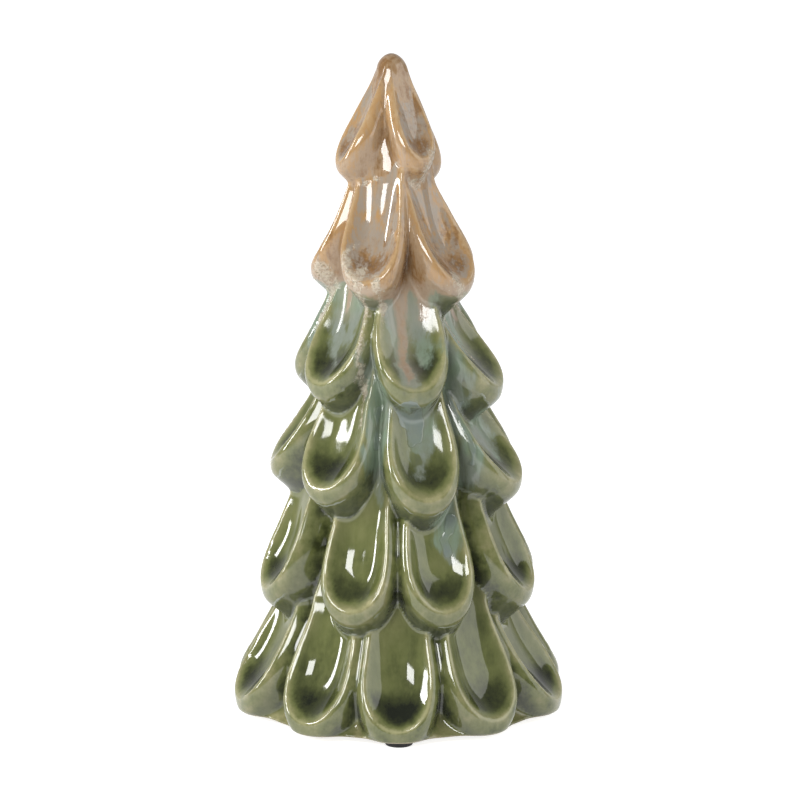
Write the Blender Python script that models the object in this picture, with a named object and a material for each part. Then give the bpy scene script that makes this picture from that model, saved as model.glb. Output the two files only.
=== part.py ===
"""Slip-cast ceramic Christmas tree figurine: one hollow glazed casting on four stick-on foot pads.

The casting is a cone that carries six tiers of scooped, spoon-shaped leaves. Every leaf has the same
form: a bowl with a U-shaped rim, whose sides drop steeply into the grooves and whose thick lip hangs
down as a band before it turns under. A tier's leaves come out from beneath the lips of the tier
above. The skin is the outermost of the cone and all the leaves, blended softly where they meet, as
the glaze does.

Metres, +Z up. The origin is on the table, under the middle of the tree. The front faces -Y.
"""

import math
from collections import namedtuple

import bmesh
import bpy
import numpy as np

MM = 0.001

# The whole tree
TREE_HEIGHT = 230.0 * MM
TIP_LEAN = 2.6 * MM  # the casting bends a little to its left, so the tip lies this far from the axis

# The cone that the leaves stand on, which shows at the bottom of the grooves
CONE_FOOT_RADIUS = 42.0 * MM
CONE_TIP_RADIUS = 4.1 * MM
TIP_ROUNDING = 4.5 * MM  # height of the rounded end of the tip
FOOT_RADIUS = 51.0 * MM  # the grooves run out to this at the foot
FOOT_FLARE = 3.0 * MM  # height over which they do so

# The hollow inside
WALL = 5.0 * MM
FOOT_WALL = 5.5 * MM
VENT_RADIUS = 5.0 * MM
LEAST_CAVITY_RADIUS = 2.5 * MM
CAVITY_SIDES = 32
CAVITY_ROWS = 14

# Foot pads
PAD_NAMES = ("front", "right", "back", "left")
PAD_RADIUS = 4.75 * MM
PAD_THICKNESS = 2.0 * MM
PAD_EDGE_ROUNDING = 0.4 * MM
PAD_INSET = 2.0 * MM  # from the edge of the foot to the edge of a pad
PAD_SIDES = 32
SEAT_GAP = 0.3 * MM  # between a pad and the foot it is stuck to
FOOT_HEIGHT = PAD_THICKNESS + SEAT_GAP

# Heights of the tiers' lips
SKIRT_LIP_HEIGHT = 7.6 * MM
LOWER_PITCH = 38.5 * MM  # between the lips of the three lowest tiers
UPPER_PITCH = 35.3 * MM  # between the others
FOURTH_LIP_HEIGHT = SKIRT_LIP_HEIGHT + 2 * LOWER_PITCH
CROWN_POINT = 2.0 * MM  # the crown's leaves run to a point this far above the tip
NECK_TUCK = 3.4 * MM  # the other leaves' necks start this far below the lips above them

# The largest size of what each leaf has. A tier's own shares of these follow below.
LEAF_HALF_WIDTH = 11.0 * MM  # from the middle of a bowl to its rim, where it is widest
NECK_HALF_WIDTH = 7.6 * MM  # the same at the neck
BOWL_HEIGHT = 14.0 * MM  # from the lip up to where the bowl is widest
LIP_OVERHANG = 15.0 * MM  # how far a lip stands out from the cone
NECK_RISE = 5.0 * MM  # how far the rims stand out from the cone at the neck
SCOOP_DEPTH = 6.2 * MM  # from the rim to the bottom of the bowl
NECK_SCOOP_DEPTH = 3.4 * MM

# What shapes every leaf
LEAF_FLARE = 1.15  # above 1, the rims curve outward on their way down
LIP_TURN = 0.085  # share of a leaf's length over which its rim stops running outward
SCOOP_FLATNESS = 3.4  # how broad the bottom of the bowl is
SCOOP_STEEPNESS = 1.4  # how steeply the bowl rises to the rim
CREST_ROUNDING = 1.4 * MM
BLEND = 0.7 * MM  # size of the soft fillets where leaves and cone meet

# Past its crest the rim is a band that falls gently and then, over an edge, a wall that falls
# steeply. A slope is the radial fall for each step away from the crest.
Rim = namedtuple("Rim", "band band_slope edge wall_slope")
SIDE_BAND = 3.2 * MM
SIDE_EDGE = 0.7 * MM
LIP_BAND = 5.0 * MM
LIP_EDGE = 0.7 * MM
SIDE_RIM = Rim(SIDE_BAND, 0.45, SIDE_EDGE, 2.5)
LIP_RIM = Rim(LIP_BAND, 0.22, LIP_EDGE, 1.2)

# One tier of leaves. turn_deg is the direction of its first leaf, from the front towards +X. size,
# neck, overhang and rise are shares: of the half width, bowl and lip, of the neck's half width, of
# the overhang and of the neck's rise.
Tier = namedtuple("Tier", "leaves turn_deg lip_height size neck overhang rise")
TIERS = {
    "crown": Tier(4, 33.0, FOURTH_LIP_HEIGHT + 3 * UPPER_PITCH, 0.72, 0.36, 0.5, -0.7),
    "second": Tier(5, -22.0, FOURTH_LIP_HEIGHT + 2 * UPPER_PITCH, 0.92, 0.88, 0.87, 0.25),
    "third": Tier(6, 11.0, FOURTH_LIP_HEIGHT + UPPER_PITCH, 1.04, 1.0, 0.97, 0.35),
    "fourth": Tier(7, 14.0, FOURTH_LIP_HEIGHT, 1.0, 1.0, 1.1, 0.95),
    "fifth": Tier(8, 20.5, SKIRT_LIP_HEIGHT + LOWER_PITCH, 0.98, 1.0, 1.0, 1.0),
    "skirt": Tier(10, -0.4, SKIRT_LIP_HEIGHT, 1.03, 1.05, 1.2, 0.95),
}

# Where a leaf isn't quite in its tier's ring: its extra turn in degrees, and how many steps its lip
# is higher, its lip further out and its neck further out. Leaves count from a tier's first one
# towards +X.
HAND_STEP = 1.0 * MM
HAND_SET = {
    ("crown", 3): (-12.0, -2.4, 1.6, -0.6),
    ("second", 1): (0.0, -1.0, 2.0, 0.0),
    ("second", 4): (0.0, 1.2, 0.4, 3.2),
    ("third", 1): (0.0, -2.8, 1.6, -5.4),
    ("third", 2): (5.0, 0.0, 0.0, -1.5),
    ("third", 4): (0.0, 0.0, 0.0, 2.0),
    ("third", 5): (0.0, 0.0, 0.0, 0.5),
    ("fourth", 0): (0.0, -1.0, 0.0, 0.0),
    ("fourth", 1): (2.0, 0.0, 1.0, -5.0),
    ("fourth", 2): (5.0, 0.0, 0.0, -1.5),
    ("fourth", 5): (0.0, 3.4, 0.4, -0.8),
    ("fourth", 6): (0.0, 1.0, 0.0, 0.0),
    ("fifth", 0): (-1.0, -0.8, 0.0, 0.0),
    ("fifth", 1): (1.5, 0.4, 0.4, 0.0),
    ("fifth", 6): (-1.0, 0.4, 0.6, 1.6),
    ("fifth", 7): (4.0, -0.8, 0.0, 0.0),
    ("skirt", 0): (0.0, -1.2, 0.0, 0.0),
    ("skirt", 1): (-0.5, 0.0, 0.0, 0.0),
    ("skirt", 2): (-1.5, 0.0, 1.0, -3.4),
    ("skirt", 8): (2.0, 0.0, 1.2, 0.0),
    ("skirt", 9): (3.0, -0.8, 0.4, 0.0),
}

# How finely the skin is shaped. It is then thinned where it is nearly flat.
SKIN_COLUMNS = 288
SKIN_ROWS = 240
TIP_ROWS = 8
SKIN_SHARE_KEPT = 0.076
BELOW_FOOT = 3.0 * MM  # the skin starts this far under the foot, and is cut off flat

Leaf = namedtuple(
    "Leaf",
    "turn neck_height neck_radius neck_half_width lip_height lip_radius half_width bowl_height lip_band",
)


def clear_scene():
    for obj in list(bpy.data.objects):
        bpy.data.objects.remove(obj)


def make_material(name, colour, roughness):
    material = bpy.data.materials.new(name)
    material.use_nodes = True
    shader = material.node_tree.nodes["Principled BSDF"]
    shader.inputs["Base Color"].default_value = (*colour, 1.0)
    shader.inputs["Roughness"].default_value = roughness
    shader.inputs["Metallic"].default_value = 0.0
    return material


def make_object(name, data, material=None):
    obj = bpy.data.objects.new(name, data)
    if material:
        data.materials.append(material)
    bpy.context.scene.collection.objects.link(obj)
    return obj


def mesh_data(name, mesh):
    """Turns a bmesh into mesh data and frees it."""
    data = bpy.data.meshes.new(name)
    mesh.to_mesh(data)
    mesh.free()
    return data


def lean(x, z):
    """The casting's bend shifts a point to the left, the more so the higher it is."""
    return x - TIP_LEAN * (z / TREE_HEIGHT) ** 2


def mix(a, b, share):
    return a + (b - a) * share


def smooth_step(t):
    t = np.clip(t, 0.0, 1.0)
    return t * t * (3.0 - 2.0 * t)


def cone_radius(z):
    return mix(CONE_FOOT_RADIUS, CONE_TIP_RADIUS, z / TREE_HEIGHT)


def groove_radius(z):
    """The cone with the flare that takes its grooves out to the foot."""
    flare = (FOOT_RADIUS - CONE_FOOT_RADIUS) * np.exp((FOOT_HEIGHT - z) / FOOT_FLARE)
    return cone_radius(z) + np.minimum(flare, FOOT_RADIUS - CONE_FOOT_RADIUS)


def all_leaves():
    """Every leaf with its own direction and sizes, tier by tier from the crown down."""
    leaves = []
    neck_height = TREE_HEIGHT + CROWN_POINT
    for name, tier in TIERS.items():
        for i in range(tier.leaves):
            extra_turn, higher, lip_out, neck_out = HAND_SET.get((name, i), (0.0,) * 4)
            turn = math.radians(tier.turn_deg + extra_turn) + 2 * math.pi * i / tier.leaves
            neck_radius = cone_radius(neck_height) + tier.rise * NECK_RISE
            lip_radius = cone_radius(tier.lip_height) + tier.overhang * LIP_OVERHANG
            leaf = Leaf(
                turn=turn,
                neck_height=neck_height,
                neck_radius=neck_radius + neck_out * HAND_STEP,
                neck_half_width=tier.neck * NECK_HALF_WIDTH,
                lip_height=tier.lip_height + higher * HAND_STEP,
                lip_radius=lip_radius + lip_out * HAND_STEP,
                half_width=tier.size * LEAF_HALF_WIDTH,
                bowl_height=tier.size * BOWL_HEIGHT,
                lip_band=tier.size * LIP_RIM.band,
            )
            leaves.append(leaf)
        neck_height = tier.lip_height - NECK_TUCK
    return leaves


def rim_radius(leaf, z):
    """The rim runs out and down from the neck, and stops running out where the lip hangs down."""
    down = (leaf.neck_height - z) / (leaf.neck_height - leaf.lip_height)
    outward = 1.0 - LIP_TURN * np.logaddexp(0.0, (1.0 - down) / LIP_TURN - 1.0)
    curved = np.maximum(outward, 0.0) ** LEAF_FLARE + np.minimum(outward, 0.0)
    return mix(leaf.neck_radius, leaf.lip_radius, curved)


def rim_fall(distance, band, band_slope, edge, wall_slope):
    """How far the surface has fallen at this distance past the crest of the rim."""
    gentle = band_slope * (np.hypot(distance, CREST_ROUNDING) - CREST_ROUNDING)
    past_band = np.logaddexp(0.0, (distance - band) / edge) - np.logaddexp(0.0, -band / edge)
    return gentle + (wall_slope - band_slope) * edge * past_band


def leaf_radius(leaf, angle, z):
    """Distance of one leaf's surface from the axis, at each angle and height."""
    rim = rim_radius(leaf, z)
    middle = leaf.lip_height + leaf.bowl_height
    up = smooth_step((z - middle) / (leaf.neck_height - middle))
    width = mix(leaf.half_width, leaf.neck_half_width, up)

    # reach is 0 along the middle of the bowl and 1 on the crest of the rim.
    below = np.maximum(middle - z, 0.0) / leaf.bowl_height
    off_middle = (angle - leaf.turn + math.pi) % (2 * math.pi) - math.pi
    sideways = np.maximum(rim, leaf.neck_radius) * off_middle / width
    reach = np.hypot(sideways, below)

    bowl = np.clip(1.0 - reach**SCOOP_FLATNESS, 0.0, 1.0) ** SCOOP_STEEPNESS
    scoop = mix(SCOOP_DEPTH, NECK_SCOOP_DEPTH, up) * bowl

    # downward is 0 beside the bowl and 1 straight below it.
    downward = (below / np.maximum(reach, 1e-6)) ** 2
    past_crest = np.maximum(reach - 1.0, 0.0) * mix(width, leaf.bowl_height, downward)
    fall = rim_fall(
        past_crest,
        band=mix(SIDE_RIM.band * (1.0 - 0.4 * up), leaf.lip_band, downward),
        band_slope=mix(SIDE_RIM.band_slope, LIP_RIM.band_slope, downward),
        edge=mix(SIDE_RIM.edge, LIP_RIM.edge, downward),
        wall_slope=mix(SIDE_RIM.wall_slope, LIP_RIM.wall_slope, downward),
    )
    return rim - scoop - fall


def skin_radius(angle, z):
    """The whole skin: the outermost of the cone and the leaves, blended where they meet."""
    total = groove_radius(z) / BLEND
    for leaf in all_leaves():
        total = np.logaddexp(total, leaf_radius(leaf, angle, z) / BLEND)
    return total * BLEND


def skin_angles():
    return np.arange(SKIN_COLUMNS) * 2 * math.pi / SKIN_COLUMNS


def build_skin():
    """The sculpted outside as one closed mesh, from below the foot to the rounded tip."""
    shoulder = TREE_HEIGHT - TIP_ROUNDING
    turn = np.linspace(0.0, math.pi / 2, TIP_ROWS + 1)[1:-1]
    sides = np.linspace(FOOT_HEIGHT - BELOW_FOOT, shoulder, SKIN_ROWS)
    heights = np.concatenate([sides, shoulder + TIP_ROUNDING * np.sin(turn)])
    shares = np.concatenate([np.ones_like(sides), np.cos(turn)])
    angle, z = np.meshgrid(skin_angles(), heights)
    radius = skin_radius(angle, z) * shares[:, None]
    points = np.stack([lean(radius * np.sin(angle), z), -radius * np.cos(angle), z], axis=-1)

    mesh = bmesh.new()
    rings = [[mesh.verts.new(point) for point in row] for row in points]
    for lower, upper in zip(rings, rings[1:]):
        for i in range(SKIN_COLUMNS):
            j = (i + 1) % SKIN_COLUMNS
            mesh.faces.new((lower[i], lower[j], upper[j], upper[i]))
    tip = mesh.verts.new((lean(0.0, TREE_HEIGHT), 0.0, TREE_HEIGHT))
    for i in range(SKIN_COLUMNS):
        mesh.faces.new((rings[-1][i], rings[-1][(i + 1) % SKIN_COLUMNS], tip))
    mesh.faces.new(rings[0][::-1])
    return mesh_data("skin", mesh)


def thinned(data):
    """The same skin with few triangles where it is nearly flat and more along the rims."""
    helper = make_object("skin_helper", data)
    decimate = helper.modifiers.new("Thin", "DECIMATE")
    decimate.ratio = SKIN_SHARE_KEPT
    decimate.use_collapse_triangulate = True
    graph = bpy.context.evaluated_depsgraph_get()
    light = bpy.data.meshes.new_from_object(helper.evaluated_get(graph))
    bpy.data.objects.remove(helper)
    return light


def cut_flat_foot(data):
    """Cuts the skin off flat at the foot and closes it."""
    mesh = bmesh.new()
    mesh.from_mesh(data)
    cut = bmesh.ops.bisect_plane(
        mesh,
        geom=mesh.verts[:] + mesh.edges[:] + mesh.faces[:],
        dist=1e-7,
        plane_co=(0.0, 0.0, FOOT_HEIGHT),
        plane_no=(0.0, 0.0, 1.0),
        clear_inner=True,
    )
    outline = [item for item in cut["geom_cut"] if isinstance(item, bmesh.types.BMEdge)]
    bmesh.ops.edgeloop_fill(mesh, edges=outline)
    bmesh.ops.recalc_face_normals(mesh, faces=mesh.faces)
    return mesh_data("skin_on_foot", mesh)


def cavity_outline():
    """Radius and height of the hollow, top to floor: a wall inside the deepest groove or scoop."""
    floor = FOOT_HEIGHT + FOOT_WALL
    heights = np.linspace(floor, TREE_HEIGHT - TIP_ROUNDING, SKIN_ROWS)
    angle, z = np.meshgrid(skin_angles(), heights)
    free = skin_radius(angle, z).min(axis=1) - WALL
    free = np.minimum.accumulate(free)  # it narrows steadily upwards, so that the casting drains
    top = heights[free > LEAST_CAVITY_RADIUS][-1]
    rows = np.linspace(top, floor, CAVITY_ROWS)
    return [(float(np.interp(row, heights, free)), float(row)) for row in rows]


def build_cavity_cutter():
    """The hollow and its vent through the foot, turned as one solid and bent like the skin."""
    sides = cavity_outline()
    ceiling = (0.0, sides[0][1] + LEAST_CAVITY_RADIUS)
    vent_end = FOOT_HEIGHT - BELOW_FOOT
    vent = [(VENT_RADIUS, sides[-1][1]), (VENT_RADIUS, vent_end), (0.0, vent_end)]
    mesh = bmesh.new()
    points = [mesh.verts.new((radius, 0.0, z)) for radius, z in [ceiling, *sides, *vent]]
    edges = [mesh.edges.new(pair) for pair in zip(points, points[1:])]
    bmesh.ops.spin(
        mesh,
        geom=points + edges,
        cent=(0.0, 0.0, 0.0),
        axis=(0.0, 0.0, 1.0),
        angle=2 * math.pi,
        steps=CAVITY_SIDES,
        use_duplicate=False,
    )
    bmesh.ops.remove_doubles(mesh, verts=mesh.verts, dist=1e-6)
    bmesh.ops.recalc_face_normals(mesh, faces=mesh.faces)
    for vert in mesh.verts:
        vert.co.x = lean(vert.co.x, vert.co.z)
    return mesh_data("cavity", mesh)


def build_body(glaze):
    """The hollow glazed casting."""
    body = make_object("glazed_body", cut_flat_foot(thinned(build_skin())), glaze)
    body.data.shade_smooth()
    cutter = make_object("cavity_cutter", build_cavity_cutter())
    cutter.hide_render = True
    cutter.display_type = "WIRE"
    hollow = body.modifiers.new("Hollow", "BOOLEAN")
    hollow.operation = "DIFFERENCE"
    hollow.solver = "EXACT"
    hollow.object = cutter


def build_pad_disc():
    """One stick-on disc standing on the table, with its free edge rounded off."""
    mesh = bmesh.new()
    bmesh.ops.create_cone(
        mesh,
        cap_ends=True,
        segments=PAD_SIDES,
        radius1=PAD_RADIUS,
        radius2=PAD_RADIUS,
        depth=PAD_THICKNESS,
    )
    bmesh.ops.translate(mesh, verts=mesh.verts, vec=(0.0, 0.0, PAD_THICKNESS / 2))
    free_edge = [e for e in mesh.edges if all(v.co.z < PAD_THICKNESS / 2 for v in e.verts)]
    bmesh.ops.bevel(
        mesh,
        geom=free_edge,
        offset=PAD_EDGE_ROUNDING,
        segments=2,
        profile=0.5,
        affect="EDGES",
    )
    data = mesh_data("foot_pad", mesh)
    data.shade_smooth()
    data.set_sharp_from_angle(angle=math.radians(40))
    return data


def pad_reach(turn):
    """How far out a pad's middle sits in this direction, just inside the lobed edge of the foot."""
    spread = math.asin(PAD_RADIUS / FOOT_RADIUS)
    edge = skin_radius(turn + np.linspace(-spread, spread, 9), FOOT_HEIGHT).min()
    return edge - PAD_INSET - PAD_RADIUS


def build_pads(rubber):
    """The pads sit evenly round the foot, the first one at the front."""
    disc = build_pad_disc()
    disc.materials.append(rubber)
    for i, place in enumerate(PAD_NAMES):
        turn = 2 * math.pi * i / len(PAD_NAMES)
        reach = pad_reach(turn)
        pad = make_object(f"foot_pad_{place}", disc)
        pad.location = (reach * math.sin(turn), -reach * math.cos(turn), 0.0)


def main():
    clear_scene()
    build_body(make_material("green_glaze", (0.16, 0.19, 0.06), 0.1))
    build_pads(make_material("black_rubber", (0.01, 0.01, 0.012), 0.6))


main()
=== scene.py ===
import math

import bmesh
import bpy
import numpy as np
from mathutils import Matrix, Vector


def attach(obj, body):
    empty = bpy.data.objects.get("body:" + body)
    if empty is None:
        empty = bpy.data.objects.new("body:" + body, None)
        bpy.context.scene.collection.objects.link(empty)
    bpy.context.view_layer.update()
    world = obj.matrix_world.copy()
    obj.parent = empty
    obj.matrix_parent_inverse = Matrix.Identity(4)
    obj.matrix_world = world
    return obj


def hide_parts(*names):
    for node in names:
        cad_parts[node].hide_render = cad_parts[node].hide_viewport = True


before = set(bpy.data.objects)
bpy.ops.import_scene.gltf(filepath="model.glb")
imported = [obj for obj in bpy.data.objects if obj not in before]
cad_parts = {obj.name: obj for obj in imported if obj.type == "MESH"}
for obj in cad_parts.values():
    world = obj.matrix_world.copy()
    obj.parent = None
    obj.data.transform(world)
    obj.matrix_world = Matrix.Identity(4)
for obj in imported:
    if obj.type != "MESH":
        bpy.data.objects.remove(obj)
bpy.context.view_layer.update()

mm = 0.001
dice = np.random.default_rng(24)


# camera: a long lens a little above the table, turned down to the middle of the tree
cameraSetup = dict(
    distance=1.4, elevation=12.0, aimHeight=0.115, lens=181.75, sensor=36, shiftX=0.00125, shiftY=-0.02105,
)


def addCamera(s):
    tilt = math.radians(s["elevation"])
    spot = (0, -s["distance"] * math.cos(tilt), s["aimHeight"] + s["distance"] * math.sin(tilt))
    bpy.ops.object.camera_add(location=spot, rotation=(math.pi / 2 - tilt, 0, 0))
    camera = bpy.context.object
    camera.data.lens = s["lens"]
    camera.data.sensor_width = s["sensor"]
    camera.data.shift_x = s["shiftX"]
    camera.data.shift_y = s["shiftY"]
    bpy.context.scene.camera = camera


addCamera(cameraSetup)
print("camera done")


# shader helpers: a Wire is a socket that can be added, multiplied and so on
class Wire:
    def __init__(self, maker, socket):
        self.maker = maker
        self.socket = socket

    def calc(self, operation, *others):
        sockets = dict(enumerate((self, *others)))
        return self.maker.add("ShaderNodeMath", {"operation": operation}, sockets)

    def __add__(self, other):
        return self.calc("ADD", other)

    def __sub__(self, other):
        return self.calc("SUBTRACT", other)

    def __rsub__(self, other):
        return self * -1 + other

    def __mul__(self, other):
        return self.calc("MULTIPLY", other)

    __radd__ = __add__
    __rmul__ = __mul__


class Maker:  # adds nodes to a new material, or to a new world
    def __init__(self, owner, shader="Principled BSDF"):
        owner.use_nodes = True
        self.owner = owner
        self.tree = owner.node_tree
        self.shader = self.tree.nodes[shader]

    def add(self, kind, settings=None, sockets=None, output=0):
        node = self.tree.nodes.new(kind)
        for key, value in (settings or {}).items():
            if key == "stops":
                ramp = node.color_ramp
                while len(ramp.elements) < len(value):
                    ramp.elements.new(0.5)
                for element, (place, colour) in zip(ramp.elements, value):
                    element.position = place
                    element.color = (*colour, 1)
            else:
                setattr(node, key, value)
        for key, value in (sockets or {}).items():
            self.plug(node.inputs[key], value)
        return Wire(self, node.outputs[output])

    def plug(self, socket, value):
        if isinstance(value, Wire):
            self.tree.links.new(value.socket, socket)
        elif socket.type == "RGBA":
            socket.default_value = (*value, 1)
        else:
            socket.default_value = value

    def set(self, **values):
        for key, value in values.items():
            self.plug(self.shader.inputs[key.replace("_", " ")], value)

    def field(self, name):  # an attribute of the mesh
        return self.add("ShaderNodeAttribute", {"attribute_name": name}, output="Fac")

    def place(self):
        return self.add("ShaderNodeTexCoord", output="Object")

    def rays(self):  # 1 where the camera, a mirror or glass looks
        ways = ("Is Camera Ray", "Is Glossy Ray", "Is Transmission Ray")
        return [self.add("ShaderNodeLightPath", output=way) for way in ways]

    def noise(self, scale, detail=2.0, roughness=0.5, stretch=None):
        at = self.place()
        if stretch:
            at = self.add("ShaderNodeMapping", None, {"Vector": at, "Scale": stretch})
        return self.add("ShaderNodeTexNoise", None,
                        {"Vector": at, "Scale": scale, "Detail": detail, "Roughness": roughness})

    def ramp(self, value, low, high):  # 0 below low, 1 above high, smooth between
        return self.add("ShaderNodeMapRange", {"interpolation_type": "SMOOTHSTEP"},
                        {"Value": value, "From Min": low, "From Max": high})

    def blend(self, share, a, b):
        return self.add("ShaderNodeMix", {"data_type": "RGBA"}, {0: share, 6: a, 7: b}, output=2)

    def shades(self, value, stops):
        return self.add("ShaderNodeValToRGB", {"stops": stops}, {"Fac": value}, output="Color")

    def bump(self, height, strength, distance):  # distance in metres
        sockets = {"Strength": strength, "Distance": distance, "Height": height}
        self.set(Normal=self.add("ShaderNodeBump", None, sockets))


# the form: one cone, and on it six tiers of scooped leaves. Lengths are in mm.
form = dict(
    height=230.0, tipLean=2.6, coneFoot=42.0, coneTip=4.1, tipRounding=4.5,
    foot=2.3, footRadius=53.5, footFlare=8.5,
    skirtLip=7.6, lowerPitch=38.5, upperPitch=35.3, crownPoint=2.0, neckTuck=3.4,
    halfWidth=11.2, neckHalfWidth=9.0, bowl=14.0, overhang=15.0, neckRise=5.0,
    flare=1.15, lipTurn=0.085, scoop=6.0, neckScoop=3.2, steepness=1.25,
    sideBand=3.2, neckBandCut=0.4, sideBandSlope=0.45, sideEdge=1.3, sideWall=2.5,
    lipBand=5.0, lipBandSlope=0.22, lipEdge=0.7, lipWall=1.2,
    plain=dict(half=1.0, band=1.0, scoop=1.0, flatness=3.5, crest=1.5),
    crown=dict(half=0.78, band=1.3, scoop=0.6, flatness=2.6, crest=2.6),  # shallow, between thick round ridges
    fillet=0.95, crownFillet=1.7, footFillet=2.2,  # how softly the forms run into each other
    crownFrom=(186, 192), crownTo=(222, 208), footFrom=(15, 6),  # the heights where those fillets fade in
)
tiers = (  # from the crown down: leaves, direction of the first, size, width of neck, overhang, rise of neck
    ("crown", 4, 33.0, 0.72, 0.36, 0.5, -0.7),
    ("second", 5, -22.0, 0.92, 0.88, 0.87, 0.25),
    ("third", 6, 11.0, 1.04, 1.0, 0.97, 0.35),
    ("fourth", 7, 14.0, 1.0, 1.0, 1.1, 0.95),
    ("fifth", 8, 20.5, 0.98, 1.0, 1.0, 1.0),
    ("skirt", 10, -0.4, 1.03, 1.05, 1.2, 0.95),
)
handSet = {  # single leaves: extra turn, how much higher the lip is, how much further out the lip and the neck
    ("crown", 0): (4.0, 5.0, 0.2, 0), ("crown", 3): (-13.0, 3.0, 3.0, -0.6),
    ("second", 1): (0, -1.0, 2.0, 0), ("second", 4): (0, 1.2, 0.4, 3.2),
    ("third", 1): (0, -2.8, 1.6, -5.4), ("third", 2): (5.0, 0, 0, -1.5), ("third", 4): (0, 0, 0, 2.0),
    ("third", 5): (0, 0, 0, 0.5), ("fourth", 0): (0, -1.0, 0, 0), ("fourth", 1): (2.0, 0, 1.0, -5.0),
    ("fourth", 2): (5.0, 0, 0, -1.5), ("fourth", 5): (0, 3.4, 0.4, -0.8), ("fourth", 6): (0, 1.0, 0, 0),
    ("fifth", 0): (-1.0, -0.8, 0, 0), ("fifth", 1): (1.5, 0.4, 0.4, 0), ("fifth", 6): (-1.0, 0.4, 0.6, 1.6),
    ("fifth", 7): (4.0, -0.8, 0, 0), ("skirt", 0): (0, -1.2, 0, 0), ("skirt", 1): (-0.5, 0, 0, 0),
    ("skirt", 2): (-1.5, 0, 1.0, -3.4), ("skirt", 8): (2.0, 0, 1.2, 0), ("skirt", 9): (3.0, -0.8, 0.4, 0),
}
longNecks = {("second", 0): 7.0}  # leaves that start higher, under a lip that is higher too


leafFacts = ("sideways", "reach", "downward", "past", "band", "under", "crestGap")
farOff = 9.0  # in mm, for points that no leaf is near


def mix(a, b, share):
    return a + (b - a) * share


def fade(value, start, end):  # 0 before start, 1 past end, smooth between
    t = np.clip((value - start) / (end - start), 0, 1)
    return t * t * (3 - 2 * t)


def cone(z):
    return mix(form["coneFoot"], form["coneTip"], z / form["height"])


def grooveRadius(z):
    flare = form["footRadius"] - form["coneFoot"]
    return cone(z) + np.minimum(flare * np.exp((form["foot"] - z) / form["footFlare"]), flare)


def lipHeights():
    fourth = form["skirtLip"] + 2 * form["lowerPitch"]
    return [fourth + 3 * form["upperPitch"], fourth + 2 * form["upperPitch"], fourth + form["upperPitch"],
            fourth, form["skirtLip"] + form["lowerPitch"], form["skirtLip"]]


def allLeaves():
    leaves = []
    neck = form["height"] + form["crownPoint"]
    for tierIndex, (tier, lip) in enumerate(zip(tiers, lipHeights())):
        name, count, first, size, neckShare, overhang, rise = tier
        for i in range(count):
            turn, higher, lipOut, neckOut = handSet.get((name, i), (0, 0, 0, 0))
            ownNeck = neck + longNecks.get((name, i), 0)
            leaves.append(dict(
                tier=tierIndex, turn=math.radians(first + turn) + 2 * math.pi * i / count,
                neck=ownNeck, neckRadius=cone(ownNeck) + rise * form["neckRise"] + neckOut,
                neckHalf=neckShare * form["neckHalfWidth"], lip=lip + higher,
                lipRadius=cone(lip) + overhang * form["overhang"] + lipOut,
                half=size * form["halfWidth"], bowl=size * form["bowl"], band=size * form["lipBand"],
            ))
        neck = lip - form["neckTuck"]
    return leaves


def leafSkin(leaf, angle, z):  # radius of one leaf, and where each point lies on it
    down = (leaf["neck"] - z) / (leaf["neck"] - leaf["lip"])
    outward = 1 - form["lipTurn"] * np.logaddexp(0, (1 - down) / form["lipTurn"] - 1)
    outward = np.maximum(outward, 0) ** form["flare"] + np.minimum(outward, 0)
    rim = mix(leaf["neckRadius"], leaf["lipRadius"], outward)
    middle = leaf["lip"] + leaf["bowl"]
    up = fade(z, middle, leaf["neck"])
    own = form["crown" if leaf["tier"] == 0 else "plain"]
    width = mix(leaf["half"], leaf["neckHalf"], up) * own["half"]
    below = np.maximum(middle - z, 0) / leaf["bowl"]
    off = (angle - leaf["turn"] + math.pi) % (2 * math.pi) - math.pi
    sideways = np.maximum(rim, leaf["neckRadius"]) * off / width
    reach = np.hypot(sideways, below)
    hollow = np.clip(1 - reach ** own["flatness"], 0, 1) ** form["steepness"]
    scoop = mix(form["scoop"], form["neckScoop"], up) * hollow * own["scoop"]
    downward = (below / np.maximum(reach, 1e-6)) ** 2
    past = np.maximum(reach - 1, 0) * mix(width, leaf["bowl"], downward)
    band = mix(form["sideBand"] * (1 - form["neckBandCut"] * up) * own["band"], leaf["band"], downward)
    slope = mix(form["sideBandSlope"], form["lipBandSlope"], downward)
    edge = mix(form["sideEdge"], form["lipEdge"], downward)
    wall = mix(form["sideWall"], form["lipWall"], downward)
    fall = slope * (np.hypot(past, own["crest"]) - own["crest"])
    fall += (wall - slope) * edge * (np.logaddexp(0, (past - band) / edge) - np.logaddexp(0, -band / edge))
    return rim - scoop - fall, dict(
        sideways=sideways, reach=reach, downward=downward, past=past, band=band,
        under=(middle - z) / leaf["bowl"], crestGap=np.where(reach > 1, past, (reach - 1) * width),
    )


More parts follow.
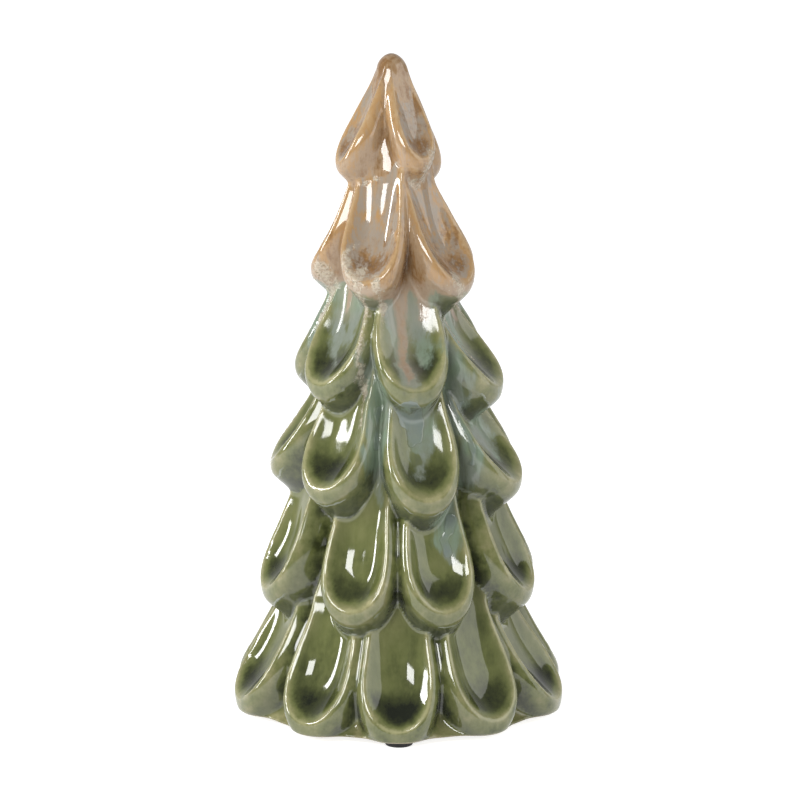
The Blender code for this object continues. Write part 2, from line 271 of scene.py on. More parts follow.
def skin(angle, z):  # the whole skin, and for each point the facts of the leaf it belongs to
    ground = grooveRadius(z) + 0 * angle
    fillet = mix(form["fillet"], form["crownFillet"], fade(z, *form["crownFrom"]) * fade(z, *form["crownTo"]))
    fillet = mix(fillet, form["footFillet"], fade(z, *form["footFrom"]))
    total = ground / fillet
    best, second = ground.copy(), ground - farOff
    owner = np.full(angle.shape, -1)
    facts = {key: np.full(angle.shape, farOff) for key in leafFacts}
    for number, leaf in enumerate(allLeaves()):
        radius, own = leafSkin(leaf, angle, z)
        total = np.logaddexp(total, radius / fillet)
        ahead = radius > best
        second = np.where(ahead, best, np.maximum(second, radius))
        best = np.where(ahead, radius, best)
        owner = np.where(ahead, number, owner)
        for key in leafFacts:
            facts[key] = np.where(ahead, own[key], facts[key])
    facts["owner"] = owner
    facts["proud"] = total * fillet - ground
    facts["lead"] = best - second  # 0 where two forms meet
    facts["share"] = facts["past"] / np.maximum(facts["band"], 0.1)  # how far across the band
    return total * fillet, facts


# the casting: a grid rolled into a tube, drawn out to the skin, and turned in over foot, vent and hollow
casting = dict(  # in mm and counts, but for the last two, which are in metres
    columns=344, rows=262, tipRows=8, hollowRows=12, sampleRows=120, sampleColumns=180,
    wall=5.0, footWall=5.5, ventRadius=5.0, leastHollow=2.5,
    footRound=0.8, footLift=0.5, tipDrop=0.03, tipFrom=(225, 230),
    waviness=0.06, wavyStep=13, wavySeed=8, wavyFrom=(8, 18), wavyTo=(222, 212), inset=0.1,
    poleRadius=0.01, poleShare=1e-4, mergeWithin=0.03 * mm, leastEdge=1e-7,
)


def softNoise(angle, z, radius, step, seed):  # the sum of nine waves on the form, about -1 to 1, step in mm
    waves = 9
    x, y = radius * np.sin(angle), -radius * np.cos(angle)
    total = np.zeros(angle.shape)
    source = np.random.default_rng(seed)
    for _ in range(waves):
        d = source.normal(size=3)
        d /= np.linalg.norm(d) * step / source.uniform(0.7, 1.5)
        total += np.sin(2 * math.pi * (x * d[0] + y * d[1] + z * d[2]) + source.uniform(0, 2 * math.pi))
    return total / math.sqrt(waves)


def softened(values, across, upright):  # blurred on the grid: round the tree, then up and down
    def kernel(width):
        reach = max(int(3 * width), 1)
        k = np.exp(-0.5 * (np.arange(-reach, reach + 1) / width) ** 2)
        return k / k.sum(), reach

    k, reach = kernel(across)
    padded = np.concatenate([values[:, -reach:], values, values[:, :reach]], axis=1)
    values = sum(w * padded[:, i:i + values.shape[1]] for i, w in enumerate(k))
    k, reach = kernel(upright)
    padded = np.concatenate([values[:1]] * reach + [values] + [values[-1:]] * reach)
    return sum(w * padded[i:i + values.shape[0]] for i, w in enumerate(k))


# runs of glaze, each a path of (direction in degrees, height in mm, half width in mm)
honeyRuns = (  # pinkish brown, down the third tier
    ((6, 156, 4.5), (6, 148, 2.0), (5.5, 141, 1.2), (4, 133, 0.9), (5, 128, 0.9), (8, 124, 0.7)),
    ((-58, 156, 3.0), (-57, 149, 1.2), (-57, 143, 0.4)), ((24, 156, 3.5), (26, 149, 1.6), (27, 142, 0.5)),
    ((84, 156, 3.5), (86, 148, 1.8), (88, 138, 0.8)), ((130, 156, 3.5), (131, 146, 1.6), (132, 134, 0.8)),
    ((188, 156, 3.0), (189, 146, 1.5), (190, 132, 0.7)), ((-115, 156, 3.5), (-114, 147, 1.5), (-113, 137, 0.6)),
)
crustRuns = (  # cream, where the crystals stand
    ((-28, 157, 1.9), (-26, 148, 0.7), (-25.5, 135, 0.5), (-24.5, 122, 0.55), (-24, 111, 0.4), (-24, 105, 0.1)),
    ((-14, 156, 1.4), (-12, 150, 0.7), (-11, 144, 0.4), (-10, 138, 0.1)),
    ((44, 156, 1.9), (48, 149, 1.0), (58, 141, 0.6), (66, 134, 0.5), (70, 126, 0.2)),
    ((-41, 165, 0.8), (-39, 160, 1.2), (-33, 156.5, 1.1), (-25, 155, 1.3), (-15, 156.5, 0.9), (-9, 161, 0.5)),
    ((40, 190, 1.0), (46, 191, 3.4), (52, 190, 3.2), (60, 191, 2.0), (64, 194, 0.8)),
    ((50, 197, 1.6), (52, 193, 2.2)), ((22, 189, 0.6), (30, 187, 1.6), (42, 186, 1.6)),
    ((-34, 188, 0.8), (-48, 187, 1.2), (-58, 188, 0.8)),
    ((-75, 157, 2.0), (-79, 148, 1.3), (-80, 136, 0.8), (-80, 124, 0.5)),
    ((101, 156, 2.0), (101, 142, 1.2), (101, 126, 0.9), (102, 116, 0.4)),
    ((161, 156, 2.0), (161, 140, 1.2), (160, 128, 0.6)),
    ((-139, 156, 2.0), (-139, 138, 1.2), (-138, 121, 0.9), (-138, 112, 0.4)),
    ((115, 158, 1.0), (122, 156, 1.8), (132, 156, 1.2)), ((-160, 158, 1.0), (-168, 156, 1.8), (-178, 157, 1.0)),
    ((150, 190, 1.0), (142, 188, 2.2), (134, 189, 1.0)), ((-120, 190, 1.0), (-134, 188, 2.4), (-146, 190, 1.0)),
)
dripRuns = (  # grey, with a clear edge
    ((7, 112, 4.4), (9, 109, 4.0), (12, 106, 3.0), (12, 103, 2.9), (9, 100.5, 1.6)),
    ((39, 118, 0.5), (40, 108, 0.6), (39.5, 96, 0.5), (39, 88, 0.4)), ((45, 116, 0.7), (46, 104, 0.6), (46, 92, 0.5)),
    ((52, 112, 0.6), (53, 106, 0.7), (53, 100, 0.5)), ((31, 74, 1.6), (29, 70, 1.3), (26, 67, 1.1), (27, 63, 1.5)),
    ((-14, 112, 0.6), (-13, 106, 0.6), (-12.5, 99, 0.5)),
    ((140, 112, 3.0), (142, 104, 1.6), (143, 98, 1.6)),
    ((-168, 112, 2.0), (-168, 106, 1.4), (-168, 101, 1.5)), ((104, 74, 2.0), (105, 70, 1.4), (105, 66, 1.5)),
)
veilRuns = (  # milky, sea green to grey
    ((21, 156, 6.5), (21, 147, 5.5), (20, 140, 4.2), (19, 134, 3.0), (18, 129, 1.6)),
    ((0, 156, 6.0), (-1, 146, 4.6), (-1, 136, 3.6), (2, 129, 3.0), (6, 124, 2.8), (11, 121.5, 2.0)),
    ((-50, 156, 9.0), (-51, 146, 8.0), (-52, 137, 6.0), (-50, 131, 4.0), (-46, 127, 1.8)),
    ((38, 132, 3.0), (44, 120, 4.0), (47, 106, 4.2), (46, 94, 2.8), (45, 84, 1.2)),
    ((-21, 130, 3.5), (-15, 119, 4.6), (-12, 108, 4.2), (-12, 98, 3.2), (-12, 88, 2.2), (-12, 80, 1.0)),
    ((66, 152, 6.0), (68, 140, 5.0), (67, 128, 2.4)), ((74, 114, 5.0), (72, 100, 4.5), (70, 92, 2.0)),
    ((13, 113, 5.0), (14, 104, 4.0), (12, 97, 3.4), (11, 92, 1.6)),
    ((28, 80, 4.0), (28, 73, 4.6), (27, 66, 3.6), (29, 60, 1.5)), ((-80, 150, 4.0), (-82, 136, 2.2), (-82, 126, 0.8)),
    ((118, 152, 7.0), (120, 140, 6.0), (122, 130, 3.0)), ((-168, 152, 7.0), (-169, 138, 6.0), (-170, 128, 3.0)),
    ((140, 118, 6.0), (142, 104, 6.0), (143, 94, 3.0)), ((-110, 152, 7.0), (-111, 140, 5.0), (-112, 130, 2.5)),
    ((175, 118, 6.0), (176, 104, 5.0), (177, 95, 2.0)), ((-120, 118, 4.0), (-121, 106, 3.0), (-121, 98, 1.5)),
    ((105, 80, 5.0), (106, 70, 4.5), (106, 62, 2.0)),
)
runs = dict(  # the kinds, and how far the slow and the fine noise move their edges, in mm
    honey=dict(paths=honeyRuns, slow=0, fine=0.3),
    crust=dict(paths=crustRuns, slow=0, fine=0.4),
    veil=dict(paths=veilRuns, slow=0.8, fine=0.5),
    drip=dict(paths=dripRuns, slow=0, fine=0.25),
)
coat = dict(  # how the glaze lies, where thick 0 is a dry edge and 1 a deep pool; lengths in mm
    slowStep=16, slowSeed=3, fineStep=6, fineSeed=4, beyondRuns=-30.0,
    bowl=0.47, lowInBowl=0.07, lowFrom=(-1.4, 0.2), insideFrom=(1.0, 0.8),
    pool=0.30, poolWidth=0.85, poolPlace=0.60, poolBend=0.25, poolDepth=0.30,
    side=((0, 0.4, 1.0, 2.0), (0.22, 0.36, 0.48, 0.66)),  # how far across the band, and how thick there
    # past the band, under the lip, the glaze is made thicker and so darker: partly glaze that rolls thick there,
    # partly painted shade
    lip=((0, 0.35, 0.75, 1.0, 1.4, 2.6), (0.21, 0.40, 0.44, 0.34, 0.52, 0.66)), lipFrom=(0.1, 0.7),
    dip=0.10, dipDepth=2.2, dipBlur=(4.0, 5.0), core=0.70,
    groove=0.22, lowGroove=0.26, lowGrooveFrom=(5, 23), highGroove=0.14, highGrooveFrom=(20, 80), grooveTo=3.2,
    # skirt: makes the glaze a little darker towards the bottom
    unlike=0.02, skirt=0.035, skirtFrom=(50, 20),
    leadFrom=(0.2, 1.2), seamWidth=0.9, seamAbove=(14, 22), underLipShadeFrom=(1.1, 1.6),
    curlPlace=1.25, curlReach=4, curlAbove=(24, 30), lipSideFrom=(0.45, 0.75), crestReach=6,
    honeyFrom=151.5, honeySlow=1.2, honeyFine=0.9,
)


def edgeNoises(angle, z, radius):
    return (softNoise(angle, z, radius, coat["slowStep"], coat["slowSeed"]),
            softNoise(angle, z, radius, coat["fineStep"], coat["fineSeed"]))


def runField(kind, angle, z, radius, slow, fine):  # positive inside a run, in mm from its edge
    field = np.full(angle.shape, coat["beyondRuns"])
    for run in kind["paths"]:
        for (a0, z0, w0), (a1, z1, w1) in zip(run, run[1:]):
            share = np.clip((z0 - z) / (z0 - z1), 0, 1)
            turn = np.radians(mix(a0, a1, share))
            off = (angle - turn + math.pi) % (2 * math.pi) - math.pi
            beside = np.abs(off) * radius
            beyond = np.maximum(z - z0, 0) + np.maximum(z1 - z, 0)
            field = np.maximum(field, mix(w0, w1, share) - np.hypot(beside, beyond))
    return field + kind["slow"] * slow + kind["fine"] * fine


def glazeThickness(c, z, radius, facts, onLeaf, inside, leafTint):
    sideways, under = facts["sideways"], facts["under"]
    poolRise = (under - c["poolPlace"] + c["poolBend"] * sideways ** 2) / c["poolDepth"]
    pool = np.exp(-(sideways / c["poolWidth"]) ** 4 - poolRise ** 2)
    bowl = c["bowl"] + c["lowInBowl"] * fade(under, *c["lowFrom"]) + c["pool"] * pool
    side, lip = np.interp(facts["share"], *c["side"]), np.interp(facts["share"], *c["lip"])
    rim = mix(side, lip, fade(facts["downward"], *c["lipFrom"]))
    rim = rim + c["dip"] * np.clip((softened(radius, *c["dipBlur"]) - radius) / c["dipDepth"], 0, 1)
    thick = np.where(onLeaf, mix(rim, bowl, inside), c["core"])
    groove = c["groove"] + c["lowGroove"] * fade(z, *c["lowGrooveFrom"])
    groove = groove + c["highGroove"] * fade(z, *c["highGrooveFrom"])
    thick = mix(thick, groove, 1 - fade(facts["proud"], 0, c["grooveTo"]))
    return thick + c["unlike"] * leafTint + c["skirt"] * fade(z, *c["skirtFrom"])


def glazeFields(c, angle, z, radius, facts):  # the attributes that the glaze reads
    onLeaf = facts["owner"] >= 0
    slow, fine = edgeNoises(angle, z, radius)
    leafTint = np.array([0.0] + [dice.uniform(-1, 1) for _ in allLeaves()])[facts["owner"] + 1]
    inside = fade(facts["reach"], *c["insideFrom"]) * onLeaf
    fields = {name: runField(kind, angle, z, radius, slow, fine) for name, kind in runs.items()}
    topGlaze = z - c["honeyFrom"] - c["honeySlow"] * slow - c["honeyFine"] * fine
    fields["honey"] = np.maximum(topGlaze, fields["honey"])
    fields.update(
        thick=glazeThickness(c, z, radius, facts, onLeaf, inside, leafTint),
        inside=inside,
        crestGap=np.clip(facts["crestGap"], -c["crestReach"], c["crestReach"]),
        lead=fade(facts["lead"], *c["leadFrom"]) * onLeaf,
        seam=np.exp(-(facts["lead"] / c["seamWidth"]) ** 2) * onLeaf * fade(z, *c["seamAbove"]),
        curl=np.clip(facts["past"] - c["curlPlace"] * facts["band"], -c["curlReach"], c["curlReach"]),
        lipSide=fade(facts["downward"], *c["lipSideFrom"]) * onLeaf * fade(z, *c["curlAbove"]),
        # painted shade: marks the undersides of the lips, past their band, where they face down
        chin=fade(facts["share"], *c["underLipShadeFrom"]) * facts["downward"] * onLeaf,
    )
    return fields


def gridHeights():
    top = form["height"] - form["tipRounding"]
    sides = np.linspace(form["foot"], top, casting["rows"] + 1)
    cap = np.linspace(0, math.pi / 2, casting["tipRows"] + 1)[1:]
    heights = np.concatenate([sides, top + form["tipRounding"] * np.sin(cap)])
    shares = np.concatenate([np.ones_like(sides), np.cos(cap)])
    shares[-1] = casting["poleShare"]
    return heights, shares


def hollowOutline():  # radius and height of the hollow, floor to ceiling
    floor = form["foot"] + casting["footWall"]
    heights = np.linspace(floor, form["height"] - form["tipRounding"], casting["sampleRows"])
    angles = np.linspace(0, 2 * math.pi, casting["sampleColumns"], endpoint=False)
    angle, z = np.meshgrid(angles, heights)
    free = np.minimum.accumulate(skin(angle, z)[0].min(axis=1) - casting["wall"])
    rows = np.linspace(floor, heights[free > casting["leastHollow"]][-1], casting["hollowRows"])
    return [(float(np.interp(row, heights, free)), float(row)) for row in rows]


def leaned(spots):  # the top of the tree leans to the left
    spots[..., 0] -= form["tipLean"] * (spots[..., 2] / form["height"]) ** 2
    return spots


def ring(radius, angle, z):  # points at a distance from the middle, a direction from the front and a height
    return np.stack([radius * np.sin(angle), -radius * np.cos(angle), z + 0 * angle], -1)


def storeField(mesh, name, values):
    mesh.attributes.new(name, "FLOAT", "POINT").data.foreach_set("value", values.astype(np.float32))


def buildCasting(c):
    columns = c["columns"]
    heights, shares = gridHeights()
    outline = hollowOutline()
    # one column runs from the hollow's ceiling down its wall, out of the vent, over the foot and up to the tip
    inner = [(c["poleRadius"], outline[-1][1] + c["leastHollow"])] + outline[::-1]
    inner += [(c["ventRadius"], outline[0][1]), (c["ventRadius"], form["foot"])]
    wallRow = len(inner) + 1
    rows = wallRow + len(heights)
    bpy.ops.object.select_all(action="DESELECT")
    bpy.ops.mesh.primitive_grid_add(x_subdivisions=columns, y_subdivisions=rows - 1, size=2)
    body = bpy.context.object
    body.name = "reactive_glaze_casting"
    mesh = body.data
    across = columns + 1
    flat = np.zeros(len(mesh.vertices) * 3)
    mesh.vertices.foreach_get("co", flat)
    flat = flat.reshape(-1, 3)
    column = np.rint((flat[:, 0] + 1) / 2 * columns).astype(int)
    row = np.rint((flat[:, 1] + 1) / 2 * (rows - 1)).astype(int)

    angles = np.arange(across) * 2 * math.pi / columns - math.pi
    angle, z = np.meshgrid(angles, heights)
    radius, facts = skin(angle, z)
    facts = {name: values[:, :-1] for name, values in facts.items()}
    fields = glazeFields(coat, angle[:, :-1], z[:, :-1], radius[:, :-1], facts)
    wavy = c["waviness"] * softNoise(angle, z, radius, c["wavyStep"], c["wavySeed"])
    wavy = wavy * fade(z, *c["wavyFrom"]) * fade(z, *c["wavyTo"])
    radius = (radius + np.minimum(wavy - c["inset"], 0)) * shares[:, None]
    z = z - c["tipDrop"] * fade(z, *c["tipFrom"])

    place = np.zeros((rows, across, 3))
    for i, (r, h) in enumerate(inner):
        place[i] = ring(r, angles, h)
    place[len(inner)] = ring(radius[0] - c["footRound"], angles, form["foot"])
    place[wallRow:] = ring(radius, angle, z)
    place[wallRow, :, 2] += c["footLift"]
    mesh.vertices.foreach_set("co", (leaned(place)[row, column] * mm).ravel())

    for name, values in fields.items():
        full = np.zeros((rows, across))
        full[wallRow:, :-1] = values
        full[wallRow:, -1] = values[:, 0]
        full[:wallRow] = full[wallRow]
        storeField(mesh, name, full[row, column])
    storeField(mesh, "bare", row < wallRow)
    closeSeams(body)
    smoothFaces(body)
    return body


def smoothFaces(piece):
    for face in piece.data.polygons:
        face.use_smooth = True


def closeSeams(piece):  # the grid's two long sides meet, and both ends draw together at a point
    mesh = bmesh.new()
    mesh.from_mesh(piece.data)
    bmesh.ops.remove_doubles(mesh, verts=mesh.verts, dist=casting["mergeWithin"])
    bmesh.ops.dissolve_degenerate(mesh, edges=mesh.edges, dist=casting["leastEdge"])
    bmesh.ops.recalc_face_normals(mesh, faces=mesh.faces)
    openEdges = sum(1 for e in mesh.edges if len(e.link_faces) != 2)
    print("casting:", len(mesh.verts), "points,", openEdges, "open edges")
    mesh.to_mesh(piece.data)
    mesh.free()


body = buildCasting(casting)
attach(body, "root")
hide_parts("glazed_body")
print("casting done")


# the glaze: translucent, pale where it thins over an edge, darker where it lies thick
glaze = dict(
    green=((0.0, (0.40, 0.375, 0.20)), (0.22, (0.24, 0.232, 0.108)), (0.38, (0.182, 0.19, 0.076)),
           (0.55, (0.130, 0.146, 0.050)), (0.74, (0.052, 0.061, 0.020)), (0.92, (0.012, 0.015, 0.008))),
    brown=((0.0, (0.54, 0.40, 0.245)), (0.18, (0.44, 0.29, 0.15)), (0.36, (0.41, 0.245, 0.105)),
           (0.52, (0.38, 0.265, 0.16)), (0.74, (0.28, 0.16, 0.068)), (0.95, (0.16, 0.088, 0.04))),
    # chin: painted shade under the lips where they face down, partly glaze that lies thick there
    crestGreen=(0.37, 0.36, 0.19), crestBrown=(0.48, 0.335, 0.18), chin=(0.075, 0.085, 0.052),
    seam=(0.30, 0.33, 0.26), seamDark=(0.035, 0.045, 0.022), curl=(0.36, 0.39, 0.33),
    drip=(0.19, 0.23, 0.205), dripEdge=(0.045, 0.055, 0.035),
    veil=(0.20, 0.26, 0.185), veilGrey=(0.22, 0.25, 0.205),
    taupe=(0.33, 0.275, 0.215), rust=(0.21, 0.105, 0.035), mist=(0.36, 0.335, 0.26), pink=(0.39, 0.305, 0.225),
    cream=(0.55, 0.49, 0.38), clay=(0.40, 0.35, 0.23), refraction=1.62, relief=0.5, reliefDepth=0.0006,
)
covers = dict(  # how much each colour covers what lies under it
    chin=0.7, curl=0.75, seamDark=0.55, seam=0.6, dripEdge=0.22,
    rust=0.7, crestBrown=0.5, mist=0.40, pink=0.6, crust=0.75,
)
grain = dict(  # noises: scale, detail, roughness and stretch
    drift=(60, 3), mottle=(170, 3, 0.6), cloud=(230, 3, 0.6, (1, 1, 0.5)), speck=(700, 3, 0.6),
    streak=(330, 3, 0.6, (1, 1, 0.1)), thread=(900, 2, 0.6, (1, 1, 0.05)),
    curls=(110, 2), patches=(150, 2), milk=(70, 2), gaps=(95, 3, 0.55, (1, 1, 0.3)), rust=(120, 4, 0.7, (1, 1, 0.22)),
)
fades = dict(  # where each fades in: by noise, or in mm from its edge, or in metres up from the table
    curls=(0.42, 0.55), patches=(0.42, 0.56), milk=(0.42, 0.6), gaps=(0.58, 0.64), rust=(0.52, 0.68),
    crest=(0.0, 0.9), curl=(0.12, 0.34), seam=(0.45, 0.85), veil=(-1.4, 1.6), drip=(-0.1, 0.35),
    dripEdge=(-0.35, -0.1), deep=(0.56, 0.8), taupe=(0.35, 1.2), mist=(-6.0, 0.0), honey=(-0.9, 0.9),
    honeyStep=(-0.5, 0.5), pink=(-1.2, 0.4), pinkEnd=(1.5, 4.5), crust=(-0.9, 0.9), cream=(-0.08, 0.08),
    foot=(0.0025, 0.0030), upper=(0.070, 0.080), nearHoney=(-2, 0),
)


def mask(m, name, value):
    return m.ramp(value, *fades[name])


def patchesOf(m, name):
    return mask(m, name, m.noise(*grain[name]))


def grains(m, *names):  # the noises about 0
    return [m.noise(*grain[name]) - 0.5 for name in names]


def greenGlaze(m, thick, inside, crest, curl, drift, speck, streak, thread, mottle):
    depth = thick + drift * 0.44 + speck * 0.08 + thread * 0.06 + mottle * (1.0 - inside * 0.82) + streak * 0.30
    green = m.shades(depth, glaze["green"])
    # painted shade under the lips: darker where they face down, partly the glaze that rolls thick there
    green = m.blend(m.field("chin") * covers["chin"], green, glaze["chin"])
    green = m.blend(crest * (drift * 2 + 0.55), green, glaze["crestGreen"])
    green = m.blend(curl * covers["curl"], green, glaze["curl"])
    patches = patchesOf(m, "patches")
    seam = mask(m, "seam", m.field("seam") + speck * 0.3)
    green = m.blend(seam * (1 - patches) * covers["seamDark"], green, glaze["seamDark"])
    return m.blend(seam * patches * covers["seam"], green, glaze["seam"])


def brownGlaze(m, thick, inside, crest, drift, speck, streak, thread):
    depth = thick + drift * 0.8 + streak * 0.75 + speck * 0.35 + thread * 0.35
    brown = m.shades(depth, glaze["brown"])
    dull = inside + drift * 1.4 + streak * 2.8 + thread * 1.4 - mask(m, "deep", thick) * 0.5
    brown = m.blend(mask(m, "taupe", dull) * (thread * 2 + 0.85), brown, glaze["taupe"])
    rust = mask(m, "rust", m.noise(*grain["rust"]) + speck * 0.3)
    brown = m.blend(rust * covers["rust"], brown, glaze["rust"])
    return m.blend(crest * covers["crestBrown"], brown, glaze["crestBrown"])


def makeGlaze():
    m = Maker(bpy.data.materials.new("reactiveGlaze"))
    thick, honey, inside = (m.field(name) for name in ("thick", "honey", "inside"))
    drift, speck, streak, thread, mottle, cloud = grains(m, "drift", "speck", "streak", "thread", "mottle", "cloud")
    fromCrest = m.field("crestGap").calc("ABSOLUTE") + speck * 0.8 + streak * 1.2
    crest = (1 - mask(m, "crest", fromCrest)) * m.field("lead")
    curl = 1 - mask(m, "curl", (m.field("curl") + mottle * 3.2).calc("ABSOLUTE"))
    curl = curl * m.field("lipSide") * patchesOf(m, "curls")
    green = greenGlaze(m, thick, inside, crest, curl, drift, speck, streak, thread, mottle)

    veilShare = mask(m, "veil", m.field("veil") + drift * 4 + thread * 2.2 + streak * 2.0) * (1 - crest * 0.5)
    veilShare = veilShare * (streak * 0.9 + thread * 0.7 + 0.92) * (1 - patchesOf(m, "gaps") * 0.8)
    colour = m.blend(veilShare, green, m.blend(patchesOf(m, "milk"), glaze["veil"], glaze["veilGrey"]))
    drip = m.field("drip") + drift * 1.2 + thread * 0.5
    dripShare = mask(m, "drip", drip)
    dripEdge = mask(m, "dripEdge", drip) * (1 - dripShare)
    colour = m.blend(dripEdge * covers["dripEdge"], colour, glaze["dripEdge"])
    colour = m.blend(dripShare * (cloud * 3.4 + streak * 1.2 + 0.6), colour, glaze["drip"])

    brown = brownGlaze(m, thick, inside, crest, drift, speck, streak, thread)
    honeyEdge = honey + drift * 2.5 + streak * 4 + speck * 1.5
    colour = m.blend(mask(m, "mist", honeyEdge) * covers["mist"], colour, glaze["mist"])
    colour = m.blend(mask(m, "honey", honeyEdge), colour, brown)
    border = mask(m, "pink", honeyEdge) * (1 - mask(m, "pinkEnd", honeyEdge))
    colour = m.blend(border * covers["pink"], colour, glaze["pink"])
    crustShare = mask(m, "crust", m.field("crust") + speck * 3.5 + drift * 2)
    crystal = m.blend(mask(m, "cream", speck), glaze["pink"], glaze["cream"])
    colour = m.blend(crustShare * covers["crust"], colour, crystal)

    height = m.add("ShaderNodeSeparateXYZ", None, {0: m.place()}, output="Z")
    bare = m.field("bare").calc("MAXIMUM", 1 - mask(m, "foot", height + speck * 0.0012))
    upperBowls = inside * mask(m, "upper", height) * (1 - mask(m, "nearHoney", honey))
    roughness = bare * 0.6 + crustShare * 0.22 + veilShare * 0.06 + upperBowls * 0.04 + 0.06
    relief = veilShare * 0.05 + dripShare * 0.4 + curl * 0.25 + mask(m, "honeyStep", honeyEdge) * 0.2
    relief = relief + crustShare * (speck * 1.6 + 0.3) + speck * 0.02
    m.set(Base_Color=m.blend(bare, colour, glaze["clay"]), Roughness=roughness, IOR=glaze["refraction"])
    m.bump(relief, glaze["relief"], glaze["reliefDepth"])
    return m.owner


body.data.materials.append(makeGlaze())
print("glaze done")


# crystals of glaze: small cream beads that stand on the crust runs and along the border; lengths in mm
crystals = dict(
    tries=20800, lowest=102, highest=199, border=152.6, borderReach=1.6, borderShare=0.2,
    smallest=0.16, largest=0.5, fewLarge=2.2, squeeze=(0.75, 1.25), segments=7, rings=5, sink=0.55, inset=0.13,
    clay=(0.34, 0.27, 0.18), cream=(0.55, 0.49, 0.38), shade=(0.20, 0.19, 0.12), gloss=0.12,
)


def skinPoint(angle, z):  # points on the skin in mm and their outward directions
    turnStep, riseStep = 0.004, 0.1

    def spot(a, h):
        return leaned(ring(skin(a, h)[0], a, h))

    here, beside, above = spot(angle, z), spot(angle + turnStep, z), spot(angle, z + riseStep)
    out = np.cross(beside - here, above - here)
    return here, out / np.linalg.norm(out, axis=-1, keepdims=True)


def buildCrystals(s):
    angle = dice.uniform(-math.pi, math.pi, s["tries"])[:, None]
    z = dice.uniform(s["lowest"], s["highest"], s["tries"])[:, None]
    radius = skin(angle, z)[0]
    inRun = runField(runs["crust"], angle, z, radius, *edgeNoises(angle, z, radius))[:, 0] > 0
    nearBorder = np.abs(z[:, 0] - s["border"]) < s["borderReach"]
    nearBorder = nearBorder & (dice.random(s["tries"]) < s["borderShare"])
    chosen = np.flatnonzero(inRun | nearBorder)
    size = mix(s["smallest"], s["largest"], dice.random(len(chosen)) ** s["fewLarge"])
    spots, outward = skinPoint(angle[chosen], z[chosen])
    spots, outward = spots[:, 0], outward[:, 0]

    bpy.ops.object.select_all(action="DESELECT")
    bpy.ops.mesh.primitive_uv_sphere_add(segments=s["segments"], ring_count=s["rings"], radius=1)
    piece = bpy.context.object
    piece.name = "glaze_crystals"
    ball = np.array([v.co[:] for v in piece.data.vertices])
    faces = [tuple(f.vertices) for f in piece.data.polygons]
    points, allFaces = [], []
    for i in range(len(chosen)):
        squeezed = ball * size[i] * dice.uniform(*s["squeeze"], 3)
        points.append(squeezed + spots[i] - outward[i] * (s["inset"] + s["sink"] * size[i]))
        allFaces += [tuple(v + i * len(ball) for v in f) for f in faces]
    piece.data.clear_geometry()
    piece.data.from_pydata((np.concatenate(points) * mm).tolist(), [], allFaces)
    smoothFaces(piece)
    print("crystals:", len(chosen), "beads")
    return piece


def makeCrystalGlaze(s):
    m = Maker(bpy.data.materials.new("crystalGlaze"))
    patch, speck = m.noise(260, 3), m.noise(1500, 2)
    colour = m.blend(m.ramp(patch, 0.35, 0.62), s["clay"], s["cream"])
    colour = m.blend(m.ramp(speck, 0.5, 0.75) * 0.5, colour, s["shade"])
    m.set(Base_Color=colour, Roughness=speck * 0.2 + s["gloss"])
    return m.owner


beads = buildCrystals(crystals)
beads.data.materials.append(makeCrystalGlaze(crystals))
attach(beads, "root")
print("crystals done")


# the pads: matt black rubber, a little dusty
pads = dict(black=(0.008, 0.008, 0.009), dusty=(0.03, 0.03, 0.032), roughness=0.5, grain=0.3, grainDepth=0.0002)


def makeRubber(s):
    m = Maker(bpy.data.materials.new("padRubber"))
    dust = m.noise(900, 4, 0.6)
    m.set(Base_Color=m.blend(m.ramp(dust, 0.45, 0.7), s["black"], s["dusty"]), Roughness=dust * 0.25 + s["roughness"])
    m.bump(dust, s["grain"], s["grainDepth"])
    return m.owner


rubber = makeRubber(pads)
for place in ("front", "right", "back", "left"):
    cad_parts["foot_pad_" + place].data.materials[0] = rubber
print("pads done")


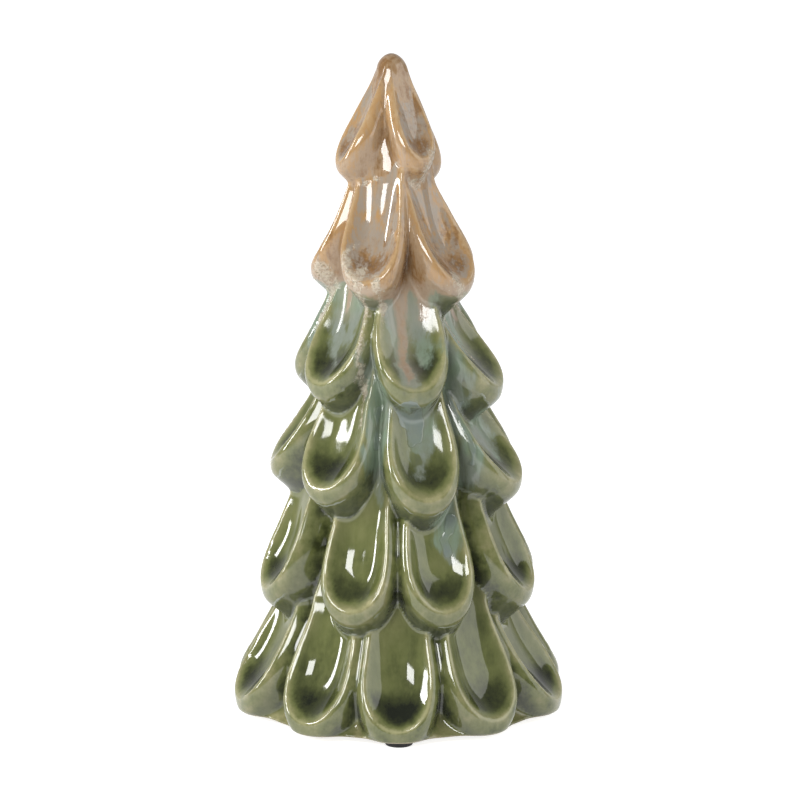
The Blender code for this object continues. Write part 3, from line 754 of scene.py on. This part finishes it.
# the studio: a white ground and surround for the camera, and three soft lamps
studio = dict(  # in metres
    floorSize=8.0, floorWhite=0.8, floorGlow=0.8, floorRoughness=0.9, aimHeight=0.115,
    surroundLight=0.36, darkRoom=0.16, brightBack=0.9, backFrom=(-0.1, 0.9),
    lamps=(  # azimuth from the front towards +X, elevation, distance, width, height, power in watts
        ("stripLeft", -80, 17, 1.0, 0.16, 0.50, 5.2),
        ("softFront", -24, 25, 0.6, 0.29, 0.15, 1.8),
        ("fillRight", 74, 18, 1.3, 1.25, 1.1, 7.5),
    ),
)


def addFloor(s):
    bpy.ops.object.select_all(action="DESELECT")
    bpy.ops.mesh.primitive_plane_add(size=s["floorSize"], location=(0, 0, 0))
    ground = bpy.context.object
    ground.name = "paleGround"
    m = Maker(bpy.data.materials.new("paleGround"))
    camera, glossy, clear = m.rays()
    m.set(Base_Color=(s["floorWhite"],) * 3, Roughness=s["floorRoughness"], Emission_Strength=s["floorGlow"],
          Emission_Color=m.blend(camera + glossy + clear, (0, 0, 0), (1, 1, 1)))
    ground.data.materials.append(m.owner)


def addLamp(aimHeight, name, azimuth, elevation, distance, width, height, power):
    a, e = math.radians(azimuth), math.radians(elevation)
    away = Vector((math.sin(a) * math.cos(e), -math.cos(a) * math.cos(e), math.sin(e)))
    bpy.ops.object.light_add(type="AREA", location=away * distance + Vector((0, 0, aimHeight)))
    lamp = bpy.context.object
    lamp.name = name
    lamp.rotation_euler = away.to_track_quat("Z", "Y").to_euler()
    lamp.data.shape = "RECTANGLE"
    lamp.data.size = width
    lamp.data.size_y = height
    lamp.data.energy = power


def addSurround(s):  # white to the camera, dim to the lit glaze in front, bright behind the tree
    world = bpy.data.worlds.new("whiteSurround")
    bpy.context.scene.world = world
    m = Maker(world, "Background")
    camera, glossy, clear = m.rays()
    back = m.add("ShaderNodeSeparateXYZ", None, {0: m.add("ShaderNodeTexCoord", output="Generated")}, output="Y")
    mirrored = m.ramp(back, *s["backFrom"]) * (s["brightBack"] - s["darkRoom"]) + s["darkRoom"]
    light = glossy * mirrored + (1 - glossy) * s["surroundLight"]
    white = (camera + clear).calc("MINIMUM", 1)
    m.set(Color=(1, 1, 1), Strength=white + (1 - white) * light)


addFloor(studio)
for lamp in studio["lamps"]:
    addLamp(studio["aimHeight"], *lamp)
addSurround(studio)
bpy.context.scene.view_settings.view_transform = "Standard"
print("studio done")
